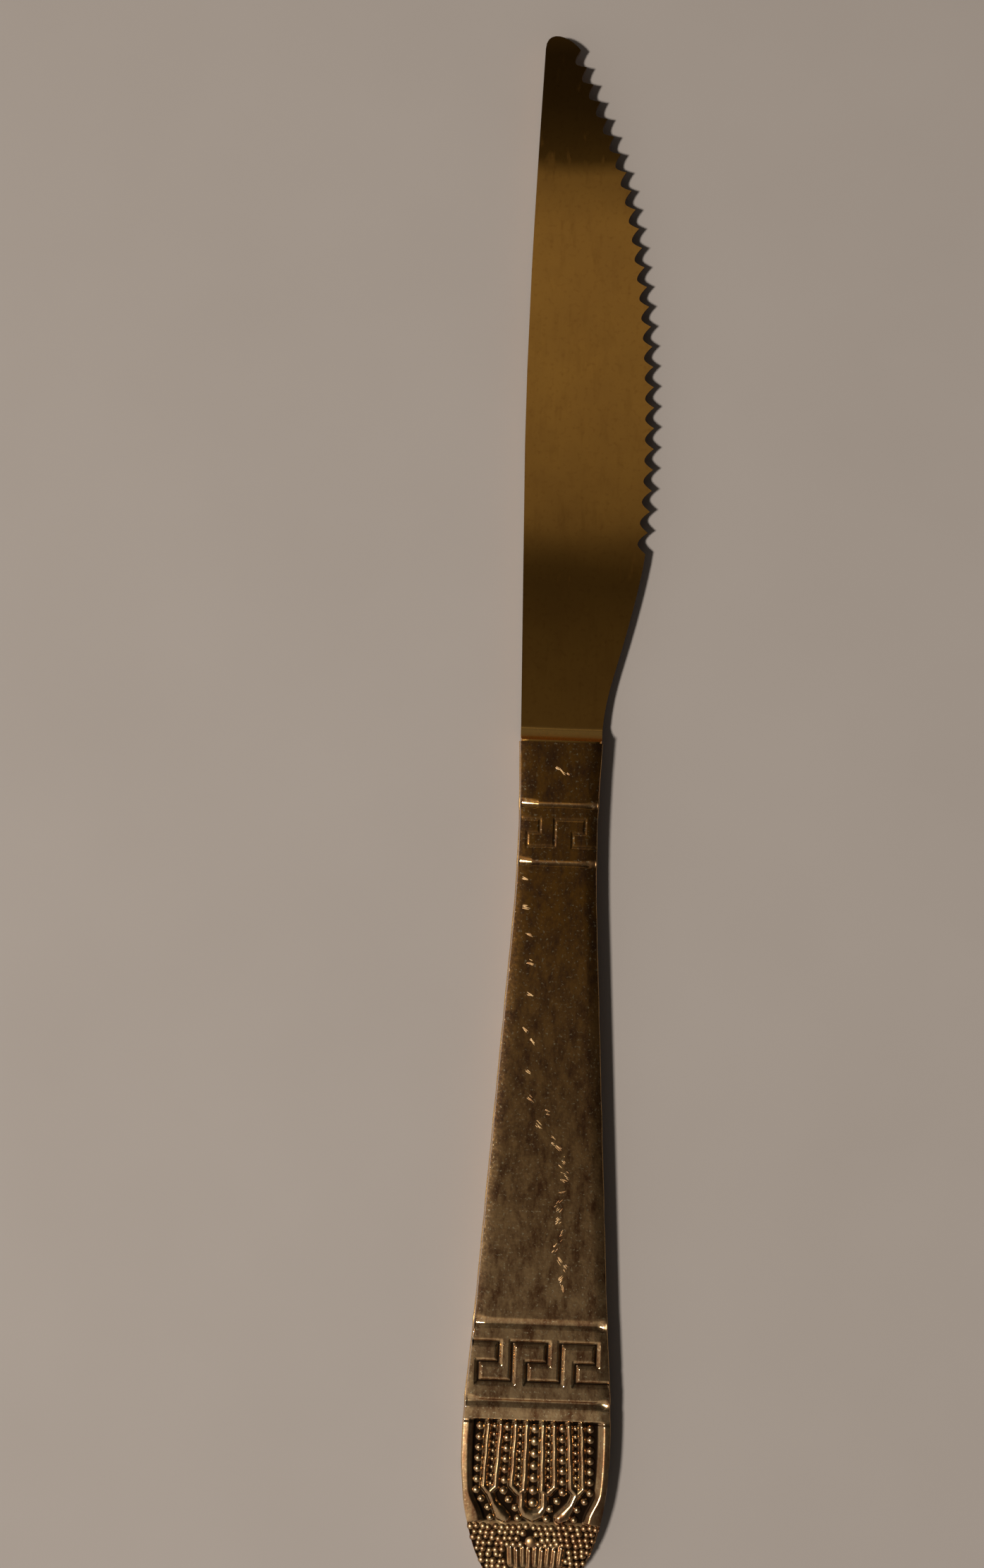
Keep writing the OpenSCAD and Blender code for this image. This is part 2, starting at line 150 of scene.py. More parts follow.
def gullet_scoops(work):
    """Mesh of upright cutters that scoop out the gullets, one in each notch of the blade's outline."""
    face = max((f for f in work.faces if f.normal.z > upward), key=lambda f: f.calc_area())
    loop = np.array([v.co.xy for v in face.verts]) / MM
    before, after = loop - np.roll(loop, 1, 0), np.roll(loop, -1, 0) - loop
    points = np.flatnonzero(before[:, 0] * after[:, 1] - before[:, 1] * after[:, 0] > point_turn)
    steps = np.linspace(0, scoop_reach, scoop_steps)[:, None]
    scoops = bmesh.new()
    for i, j in zip(points, np.roll(points, -1)):
        notch = loop[np.arange(i, i + 1 + (j - i) % len(loop)) % len(loop)]
        pitch = np.linalg.norm(notch[-1] - notch[0])
        along = (notch[-1] - notch[0]) / pitch
        depth = (notch - notch[0]) @ np.array([-along[1], along[0]])
        if pitch < gullet_pitch[0] or pitch > gullet_pitch[1] or depth.max() < gullet_depth:
            continue
        bottom = notch[depth.argmax()]
        sides = []
        for point in (notch[0], notch[-1]):
            bend = bottom + scoop_share * ((point - bottom) @ along) * along
            sides.append((1 - steps) ** 2 * bottom + 2 * steps * (1 - steps) * bend + steps ** 2 * point)
        ring = np.concatenate([sides[0][:0:-1], sides[1]])
        low, high = [[scoops.verts.new((x * MM, y * MM, z * MM)) for x, y in ring] for z in scoop_z]
        scoops.faces.new(low)
        scoops.faces.new(high)
        for k in range(len(ring)):
            scoops.faces.new((low[k - 1], low[k], high[k], high[k - 1]))
    bmesh.ops.recalc_face_normals(scoops, faces=scoops.faces)
    mesh = bpy.data.meshes.new("gullet_scoops")
    scoops.to_mesh(mesh)
    scoops.free()
    return mesh


def scooped_blade():
    """Mesh of the blade with its gullets scooped round and its sharp edges chamfered."""
    work = merged_copy(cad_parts["blade"].data)
    plain = bpy.data.meshes.new("plain_blade")
    work.to_mesh(plain)
    holder = new_object("plain_blade", plain)
    scoops = new_object("gullet_scoops", gullet_scoops(work))
    work.free()
    cut = holder.modifiers.new("gullets", "BOOLEAN")
    cut.operation = "DIFFERENCE"
    cut.solver = "EXACT"
    cut.object = scoops
    work = merged_copy(applied_mesh(holder))
    bpy.data.objects.remove(scoops)
    sharp = [e for e in work.edges if len(e.link_faces) == 2 and e.calc_face_angle() > smooth_angle]
    bmesh.ops.bevel(work, geom=sharp, offset=arris_ease * MM, segments=1, affect="EDGES", clamp_overlap=True)
    mesh = bpy.data.meshes.new("serrated_blade")
    work.to_mesh(mesh)
    work.free()
    mesh.shade_smooth()
    mesh.set_sharp_from_angle(angle=smooth_angle)
    for face in mesh.polygons:
        face.use_smooth = face.area < flat_area * MM ** 2
    return mesh


def polished_gold_plate():
    """Gold plate on polished steel: nearly a mirror, with wiping haze, stains, a few hairlines, and a satin
    cove whose paler colour is a painted sheen.
    """
    haze_mm = 7
    smear_mm = (1.1, 4.5, 1)
    # Real hairlines are a few microns wide, so these are drawn as coarse as they need to be to show
    hair_mm = (0.12, 9, 1)
    speck_mm = 0.5
    grit_mm = 0.7
    warp_mm = 16
    # Range of each pattern that shows, and what it adds to the roughness or to the colour
    haze_range, haze_rough = (0.35, 0.7), (0.01, 0.03)
    smear_range, smear_rough = (0.58, 0.75), 0.07
    stain_range, stain_share = (0.52, 0.7), 0.2
    grit_range, grit_share = (0.54, 0.74), 0.3
    speck_range = (0.05, 0.11)
    # Height of the plate's slight waves, with hairlines and pits as shares of it
    warp_height = 0.02
    hair_share = 0.0006
    pit_share = 0.0008
    material, tree, place = new_material("polished_gold_plate")
    haze, grit, warp = [
        add_node(tree, "ShaderNodeTexNoise", {"Vector": place, "Scale": 1 / size, "Detail": detail})
        for size, detail in ((haze_mm, 3), (grit_mm, 3), (warp_mm, 1))
    ]
    streaks = []
    for size, detail in ((smear_mm, 4), (hair_mm, 2)):
        drawn = add_node(tree, "ShaderNodeVectorMath", [place, [1 / v for v in size]], operation="MULTIPLY")
        streak = add_node(tree, "ShaderNodeTexNoise", {"Vector": drawn, "Scale": 1, "Detail": detail})
        streaks.append(streak)
    smear, hair = streaks
    smeared = add_node(tree, "ShaderNodeMapRange", [smear, *smear_range, 0, 1])
    stain = add_node(tree, "ShaderNodeMapRange", [smear, *stain_range, 0, stain_share])
    gritty = add_node(tree, "ShaderNodeMapRange", [grit, *grit_range, 0, grit_share])
    speck = add_node(tree, "ShaderNodeTexVoronoi", {"Vector": place, "Scale": 1 / speck_mm}, feature="F1")
    specks = add_node(tree, "ShaderNodeMapRange", [speck.outputs["Distance"], *speck_range, 1, 0])
    along = add_node(tree, "ShaderNodeSeparateXYZ", [place]).outputs["Y"]
    begun = add_node(tree, "ShaderNodeMapRange", [along, cove_y[0], cove_y[1], 0, cove_rough])
    cove = add_node(
        tree, "ShaderNodeMapRange", [along, cove_y[3], cove_y[2], 0, begun],
        interpolation_type="SMOOTHSTEP",
    )
    hazy = add_node(tree, "ShaderNodeMapRange", [haze, *haze_range, *haze_rough])
    smeary = add_node(tree, "ShaderNodeMath", [smeared, smear_rough, hazy], operation="MULTIPLY_ADD")
    rough = add_node(tree, "ShaderNodeMath", [smeary, cove], operation="ADD")
    colour = linear(plate_gold)
    # The satin cove is also painted paler, as a painted sheen
    layers = [(haze, plate_thin_gold), (stain, plate_stain), (gritty, plate_stain), (cove, cove_sheen_gold)]
    for share, over in layers:
        mixed = add_node(tree, "ShaderNodeMix", {0: share, 6: colour, 7: linear(over)}, data_type="RGBA")
        colour = mixed.outputs[2]
    fine = add_node(tree, "ShaderNodeMath", [hair, hair_share, warp], operation="MULTIPLY_ADD")
    pitted = add_node(tree, "ShaderNodeMath", [specks, -pit_share, fine], operation="MULTIPLY_ADD")
    bump = add_node(tree, "ShaderNodeBump", {"Height": pitted, "Distance": warp_height * MM})
    metal = add_node(
        tree, "ShaderNodeBsdfPrincipled",
        {"Base Color": colour, "Metallic": 1.0, "Roughness": rough, "Normal": bump},
    )
    add_node(tree, "ShaderNodeOutputMaterial", [metal])
    return material


blade_mesh = scooped_blade()
blade_mesh.materials.clear()
blade_mesh.materials.append(polished_gold_plate())
new_piece("serrated_blade", blade_mesh, "blade_gold", "blade")

# Half shells of the handle
# Two shells of thin brass, struck in one die with cordons, key bands, ribs and a pearled butt.
# They are gold plated over and worn on the high places, and their hollows are darkened with old polish and
# painted shade.

shell_low, shell_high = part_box("front_shell")
joint_y = shell_high.y / MM
handle_len = (shell_high.y - shell_low.y) / MM
shell_h = (shell_high.z - shell_low.z) / MM
rim_z = shell_low.z / MM
seam_z = (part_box("seam_braze")[0].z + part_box("seam_braze")[1].z) / 2 / MM
belly_half_w = shell_high.x / MM

# Thickness of a shell, how far its skin stays below the top, and how far its crowned face falls to the sides
shell_wall = 0.9
skin_drop = 0.06
crown_drop = 0.06
# Side of a shell: a steep wall, a small round edge with the steepest part of its turn, and a band of the
# face that rolls down to it, more from a place near the butt on
wall_lean = 0.1
edge_round = 0.015
steepest_turn = 0.998
roll_w = 2.0
roll_drop = 0.09
butt_roll_drop = 0.13
butt_roll_d = 92
butt_roll_run = 6
# Butt: half of its flat end, roundness of its corners and the distance where it begins at the belly
butt_half_flat = 1
butt_round = 0.87
belly_d = 100
# Sides of the handle, as distance from the joint, half width and slope
side_knots = [
    (0, 5.9, -0.05),
    (12.5, 5.55, 0),
    (26, 5.975, 0.0616),
    (80, 9.3, 0.0616),
    (belly_d, belly_half_w, 0),
]
# Points of the outline along the body, round the butt and on its flat end
body_points = 4000
butt_points = 2500
flat_points = 60

# Struck grooves across the handle, as distance from the joint, run of the upper and lower wall, depth,
# and reach from the left rim of the flare where the die bit deeper
grooves = [
    (8.8, 0.26, 0.5, 0.1, 2.7), (17.05, 0.3, 0.6, 0.1, 2.0),
    (82.4, 0.9, 0.5, 0.3, 1.6), (93.35, 0.5, 0.75, 0.31, 0.0),
]
# How much longer the upper and lower walls run at the rims, and how far in that is lost
upper_spread = 0.5
lower_spread = 0.3
spread_reach = 2.8
# How far in from the rims the struck lines are full, and share of a groove's depth at the left rim
rim_reach = 0.3
right_rim_reach = 1.4
left_rim_share = 0.35
flare_slope = 0.12
flare_half_w = 0.5
# Where a flare ends beside its groove, in half widths
flare_end = 1.5
rim_swell = 0.05
rim_swell_half_w = 0.9
# How carved the walls of the struck lines are, as a share of the panel
line_carved = 0.7

# Key bands, as middle, shift, units, pitch, height, line width, shares of the pitch at the key's two short
# strokes, steepness of the line's walls, and share of old polish and painted shade in it
key_bands = [
    (12.85, -0.52, 2, 6.4, 3.8, 0.36, 0.667, 0.4, 0.1, 0.35),
    (87.8, -0.4, 3, 6.9, 5.5, 0.58, 0.72, 0.31, 0.64, 1.0),
]
key_slope_share = 0.85
key_middle_share = 0.49
key_hollow = 0.85

# Sunk panel of ribs, with a border that is wider at its foot, and the pearled field below it
panel_d = 96.0
panel_end_d = 110.5
panel_end_run = 0.5
panel_depth = 0.5
panel_shift = -0.2
wall_run = 0.3
border_inset = 0.75
border_wall_run = 1.1
foot_inset = 0.9
foot_d = 106.0
foot_run = 3.6
field_depth = 0.3
field_wall_run = 0.3
field_step_run = 1.2
# Plain band above the panel, which falls to it and ends a little past its first wall
band_d = 94
band_drop = 0.17
band_past = 0.5
band_end_run = 0.3
# Section of the ribs: fall of the crown and where it stops, in half widths, and run and foot of the flanks
rib_crown = 0.52
rib_crown_end = 1.2
rib_flank = 0.5
rib_foot = 0.7
# Slight waves of the ribs: height, turn along the knife, turn from rib to rib, pitch of the ribs, and
# start on the left and on the right
rib_wave = 0.03
rib_wave_turn = 1.7
rib_wave_step = 1.3
rib_pitch = 1.6
rib_wave_starts = (0.7, 2.1)
# Ribs of one half of the panel, as two ends of place, distance and half width
panel_ribs = [
    ((6.6, 96.5, 0.38), (7.05, 105.4, 0.4)), ((4.78, 96.5, 0.46), (5.35, 105.4, 0.48)),
    ((7.05, 105.4, 0.42), (6.3, 106.2, 0.5)), ((5.35, 105.4, 0.48), (6.1, 106.2, 0.5)),
    ((6.1, 106.3, 0.52), (5.5, 107.8, 0.5)), ((5.5, 107.8, 0.5), (4.5, 109.3, 0.85)),
    ((4.5, 109.3, 0.85), (3.9, 109.7, 0.7)), ((2.7, 96.5, 0.43), (3.05, 105.2, 0.46)),
    ((1.12, 96.5, 0.46), (1.27, 105.8, 0.48)), ((3.05, 105.2, 0.46), (2.15, 106.1, 0.52)),
    ((1.3, 105.8, 0.5), (1.9, 106.2, 0.52)), ((1.6, 106.3, 0.52), (1.55, 108.2, 0.54)),
    ((1.55, 108.2, 0.54), (1.0, 109.1, 0.66)), ((1.0, 109.1, 0.66), (0, 109.4, 0.8)),
]
# Tassels of the field below the large pearl, every second one set lower, drawn in and fuller at their feet
tassel_count = 9
tassel_pitch = 0.9
tassel_shift = 0.5
tassel_d = 113.8
tassel_stagger = 0.45
tassel_len = 2.4
tassel_half_w = 0.3
tassel_draw_share = 0.94
tassel_foot_share = 1.15
# Places where the hollows are less darkened with old polish and painted shade: the outer column on the right,
# the field, and a line along the panel's end
outer_less_dark = 0.2
outer_x = 7.3
outer_run = 0.5
outer_end_d = 107
outer_end_run = 1.5
field_less_dark = 0.2
end_less_dark = 0.3
end_less_dark_half_w = 0.45

# Rows of the skin's net, as first and last distance and step, and the count of those in the butt's rim
row_spans = [
    (0, 7.4, 0.6), (7.4, 10, 0.1), (10, 15.6, 0.15), (15.6, 18.4, 0.1), (18.4, 80.4, 2.0),
    (80.4, 84, 0.12), (84, 91.4, 0.15), (91.4, 94.6, 0.12), (94.6, 96.5, 0.16), (96.5, 105, 0.17),
    (105, 111.2, 0.1), (111.2, handle_len - roll_w, 0.18),
]
butt_rows = 14
# Columns of the net: half width of its even middle by distance, where the butt narrows it, and their counts
middle_half_w = [(0, 4.3), (18, 4.3), (80, 8.1)]
narrow_d = 108
middle_columns = 181
side_columns = 22
# Section of a shell's plain inside, as shares of its half width and height, and its least half width
inside_shares = [(-1, 0), (-0.96, 0.75), (-0.86, 1), (0.86, 1), (0.96, 0.75), (1, 0)]
inside_least = 0.05
shell_sharp = math.radians(75)
# What each point of the skin carries for its finish: how darkened its hollow is with old polish and painted
# shade, and how carved it is
struck_marks = ("hollow", "carved")


def smooth(v):
    """Smooth step from 0 to 1."""
    v = np.clip(v, 0, 1)
    return v * v * (3 - 2 * v)


def step_over(v, run):
    """Smooth step from 0 to 1 over a run, with its middle where v is 0."""
    return smooth(v / run + 0.5)


def curve_at(knots, s):
    """Values at s of a smooth curve through knots of place, value and slope."""
    knots = np.array(knots, float)
    i = np.clip(np.searchsorted(knots[:, 0], s, side="right") - 1, 0, len(knots) - 2)
    a, b = knots[i], knots[i + 1]
    span = b[..., 0] - a[..., 0]
    t = (s - a[..., 0]) / span
    bend = span * t * (1 - t) * ((1 - t) * a[..., 2] - t * b[..., 2])
    return (1 + 2 * t) * (1 - t) ** 2 * a[..., 1] + t ** 2 * (3 - 2 * t) * b[..., 1] + bend


def half_width(d):
    """Half width of the handle at distances from the joint."""
    d = np.asarray(d, float)
    share = np.clip((d - belly_d) / (handle_len - belly_d), 0, 1)
    angle = np.arcsin(share ** (1 / butt_round))
    butt = butt_half_flat + (belly_half_w - butt_half_flat) * np.cos(angle)
    return np.where(d < belly_d, curve_at(side_knots, np.minimum(d, belly_d)), butt)


def outline():
    """Right side of the handle from before the joint round to the middle of the butt, with its normals."""
    body_d = np.linspace(-2 * roll_w, belly_d, body_points)
    angle = np.linspace(0, math.pi / 2, butt_points)[1:]
    butt_x = butt_half_flat + (belly_half_w - butt_half_flat) * np.cos(angle)
    butt_d = belly_d + (handle_len - belly_d) * np.sin(angle) ** butt_round
    flat_x = np.linspace(butt_half_flat, 0, flat_points)[1:]
    x = np.concatenate([half_width(body_d), butt_x, flat_x])
    d = np.concatenate([body_d, butt_d, np.full(len(flat_x), handle_len)])
    along = np.stack([np.gradient(x), np.gradient(d)], 1)
    along /= np.linalg.norm(along, axis=1)[:, None]
    return np.stack([x, d], 1), np.stack([along[:, 1], -along[:, 0]], 1)


outline_points, outline_normals = outline()
outline_tree = kdtree.KDTree(len(outline_points))
for index, (x, d) in enumerate(outline_points):
    outline_tree.insert((x, d, 0), index)
outline_tree.balance()


def inset_at(x, d):
    """Distance in from the outline, and the outline's normal there, at places on the handle."""
    found = [outline_tree.find((abs(a), b, 0))[1:] for a, b in zip(x, d)]
    index = np.array([f[0] for f in found])
    normal = outline_normals[index].copy()
    normal[:, 0] *= np.where(x < 0, -1, 1)
    return np.array([f[1] for f in found]), normal


def key_line(x, d, band):
    """How far places lie inside the struck line of a key band, from 0 to 1."""
    mid_d, shift, units, pitch, height, line_w, far, near = band[:8]
    middle = key_middle_share
    turns_share = [(0, 0), (0, 1), (far, 1), (far, middle), (near, middle), (near, 0), (1, 0)]
    inside = np.zeros_like(x)
    for unit in range(units):
        left = shift + (unit - units / 2) * pitch
        turns = [(left + a * pitch, mid_d + height / 2 - b * height) for a, b in turns_share]
        for (x0, d0), (x1, d1) in zip(turns, turns[1:]):
            off = np.maximum(
                np.abs(x - (x0 + x1) / 2) - abs(x1 - x0) / 2, np.abs(d - (d0 + d1) / 2) - abs(d1 - d0) / 2
            )
            inside = np.maximum(inside, smooth(0.5 - (off / line_w - 0.5) / key_slope_share))
    return inside


def rib_height(x, d, start, end):
    """Height of a crowned rib between two ends, 0 at its foot and 1 on its ridge, and how far it covers."""
    (x0, d0, w0), (x1, d1, w1) = start, end
    run = (x1 - x0) ** 2 + (d1 - d0) ** 2
    t = np.clip(((x - x0) * (x1 - x0) + (d - d0) * (d1 - d0)) / run, 0, 1)
    half_w = w0 + t * (w1 - w0)
    off = np.hypot(x - x0 - t * (x1 - x0), d - d0 - t * (d1 - d0))
    cover = smooth((half_w - off) / rib_flank + rib_foot)
    return cover * (1 - rib_crown * np.minimum(off / half_w, rib_crown_end) ** 2), cover


def tassel_ends():
    """Two ends of each tassel of the field, as place, distance and half width."""
    ends = []
    for i in range(tassel_count):
        place = (i - (tassel_count - 1) / 2) * tassel_pitch + tassel_shift
        top = tassel_d + tassel_stagger * (i % 2)
        foot = (place * tassel_draw_share, top + tassel_len, tassel_half_w * tassel_foot_share)
        ends.append(((place, top, tassel_half_w), foot))
    return ends


def relief(x, d, inset):
    """Height of the struck surface over the plain shell, how darkened it is in its hollows with old polish
    and painted shade, and how carved it is, at places.
    """
    rise = np.zeros_like(x)
    hollow = np.zeros_like(x)
    carved = step_over(d - panel_d, panel_end_run)
    rim = smooth(inset / rim_reach)
    left_rim = left_rim_share + (1 - left_rim_share) * rim
    edge = 1 - smooth(inset / spread_reach)
    for groove_d, upper, lower, depth, flare in grooves:
        off = d - groove_d
        wall = smooth(1 + off / (upper + upper_spread * edge))
        wall *= smooth(1 - off / (lower + lower_spread * edge))
        rise -= np.where(x < 0, left_rim, smooth(inset / right_rim_reach)) * depth * wall
        carved = np.maximum(carved, line_carved * wall)
        bitten = np.where(x < 0, np.maximum(flare - inset, 0), 0)
        bitten *= smooth(flare_end - np.abs(off) / flare_half_w)
        rise -= flare_slope * bitten
        rise += (1 - rim) * rim_swell * smooth(1 - np.abs(off) / rim_swell_half_w)
    band_end = smooth((panel_d + band_past - d) / band_end_run)
    rise -= band_drop * smooth((d - band_d) / (panel_d - band_d)) * band_end
    for band in key_bands:
        line = key_line(x, d, band)
        line_w, steepness, line_polish_and_shade = band[5], *band[8:]
        rise -= rim * steepness * key_slope_share * line_w * line
        # The struck lines of the keys are darkened with old polish and painted shade
        hollow = np.maximum(hollow, key_hollow * line_polish_and_shade * line ** 2)
        carved = np.maximum(carved, line_carved * line_polish_and_shade * line)
    shifted = x - panel_shift
    aside = np.abs(shifted)
    start = np.where(shifted < 0, *rib_wave_starts)
    aside += rib_wave * np.sin(rib_wave_turn * d + rib_wave_step * np.round(aside / rib_pitch) + start)
    below = step_over(d - panel_end_d, panel_end_run)
    border = (border_inset + foot_inset * smooth((d - foot_d) / foot_run)) * (1 - below)
    ground = smooth((inset - border) / (border_wall_run * (1 - below) + field_wall_run * below))
    ground *= step_over(d - panel_d, wall_run)
    depth = panel_depth + (field_depth - panel_depth) * step_over(d - panel_end_d, field_step_run)
    ribs = np.zeros_like(x)
    covered = np.zeros_like(x)
    raised = [(aside, *ends) for ends in panel_ribs] + [(x, *ends) for ends in tassel_ends()]
    for across, start, end in raised:
        height, cover = rib_height(across, d, start, end)
        ribs = np.maximum(ribs, height)
        covered = np.maximum(covered, cover)
    rise -= depth * ground * (1 - ribs)
    # The ground between the ribs is darkened with old polish and painted shade, less so at the outer column,
    # the field and the panel's end
    outer = smooth((shifted - outer_x) / outer_run) * smooth((outer_end_d - d) / outer_end_run)
    by_end = np.exp(-((d - panel_end_d) / end_less_dark_half_w) ** 2)
    polish_and_shade = 1 - outer_less_dark * outer - field_less_dark * below - end_less_dark * by_end
    return rise, np.maximum(hollow, ground * (1 - covered) * polish_and_shade), carved


def side_section(inset, top, d):
    """Height and slope of a shell's section, by how far in from the outline it is."""
    drop = roll_drop + (butt_roll_drop - roll_drop) * smooth((d - butt_roll_d) / butt_roll_run)

    def face(inset):
        roll = np.clip(1 - inset / roll_w, 0, 1)
        turn = np.clip((wall_lean + edge_round - inset) / edge_round, 0, steepest_turn)
        height = top - drop * roll ** 2 - edge_round * (1 - np.sqrt(1 - turn ** 2))
        return height, 2 * drop * roll / roll_w + turn / np.sqrt(1 - turn ** 2)

    height, slope = face(inset)
    wall_top, _ = face(np.full_like(inset, wall_lean))
    on_wall = inset < wall_lean
    height = np.where(on_wall, wall_top * inset / wall_lean, height)
    return height, np.where(on_wall, wall_top / wall_lean, slope)


def on_shell(x, d, rise=None):
    """Places on the shell's skin as x, y and height above its rim, with the skin's normals there."""
    inset, side = inset_at(x, d)
    top = shell_h - skin_drop - crown_drop * (x / half_width(np.minimum(d, belly_d))) ** 2
    height, slope = side_section(inset, top, d)
    normal = np.stack([slope * side[:, 0], -slope * side[:, 1], np.ones_like(slope)], 1)
    normal /= np.linalg.norm(normal, axis=1)[:, None]
    rise, *marks = relief(x, d, inset) if rise is None else (rise,)
    place = np.stack([x, joint_y - d, height], 1) + np.maximum(rise, 0)[:, None] * normal
    place[:, 2] += np.minimum(rise, 0) * height / top
    return place, normal, marks


def shell_rows():
    """Distances of the rows of the skin's net, closest at the butt's rim."""
    turn = np.linspace(0, math.pi / 2, butt_rows)
    rim_rows = handle_len - roll_w * (1 - np.sin(turn))
    return np.concatenate([np.arange(*span) for span in row_spans] + [rim_rows])


def shell_columns(d):
    """Places across one row of the skin's net, closest at the rims."""
    half = float(half_width(d))
    inner = float(np.interp(d, *zip(*middle_half_w)))
    if d > narrow_d:
        inner *= min(1, half / float(half_width(narrow_d)))
    turn = np.linspace(0, math.pi / 2, side_columns)[:-1]
    side = half - (half - inner) * (1 - np.cos(turn))
    middle = np.linspace(inner, -inner, middle_columns)
    return np.concatenate([side, middle, -side[::-1]])[::-1]


def closed_mesh(name, places, faces, sharp_angle):
    """Mesh of a closed form from places in millimetres, with its faces outward and its soft edges smooth."""
    mesh = bpy.data.meshes.new(name)
    mesh.from_pydata((places * MM).tolist(), [], faces)
    work = bmesh.new()
    work.from_mesh(mesh)
    bmesh.ops.recalc_face_normals(work, faces=work.faces)
    work.to_mesh(mesh)
    work.free()
    mesh.shade_smooth()
    mesh.set_sharp_from_angle(angle=sharp_angle)
    return mesh


def shell_mesh(name):
    """Closed mesh of a half shell with its face up: struck skin, rims and a plain inside."""
    rows = shell_rows()
    net = np.array([shell_columns(d) for d in rows])
    across = net.shape[1]
    skin_places, _, marks = on_shell(net.ravel(), np.repeat(rows, across))
    inner_half = np.maximum(half_width(rows) - shell_wall, inside_least)
    inner_d = np.minimum(rows, handle_len - shell_wall)
    inside = np.stack([
        np.stack([inner_half * a, joint_y - inner_d, np.full(len(rows), b * (shell_h - shell_wall))], 1)
        for a, b in inside_shares
    ], 1)
    deep = len(inside_shares)
    base = len(skin_places)
    last = len(rows) - 1
    faces = []
    for i in range(last):
        a, b = i * across, base + i * deep
        faces += [(a + j, a + across + j, a + across + j + 1, a + j + 1) for j in range(across - 1)]
        faces += [(b + j, b + j + 1, b + deep + j + 1, b + deep + j) for j in range(deep - 1)]
        faces.append((a, b, b + deep, a + across))
        faces.append((a + across - 1, a + 2 * across - 1, b + 2 * deep - 1, b + deep - 1))
    for i, turn in ((0, 1), (last, -1)):
        ring = [i * across + j for j in range(across)] + [base + i * deep + j for j in reversed(range(deep))]
        faces.append(tuple(ring[::turn]))
    places = np.concatenate([skin_places, inside.reshape(-1, 3)])
    mesh = closed_mesh(name, places, faces, shell_sharp)
    inside_zeros = np.zeros(len(rows) * deep)
    for mark, values in zip(struck_marks, marks):
        data = mesh.attributes.new(mark, "FLOAT", "POINT").data
        data.foreach_set("value", np.concatenate([values, inside_zeros]).astype(np.float32))
    return mesh


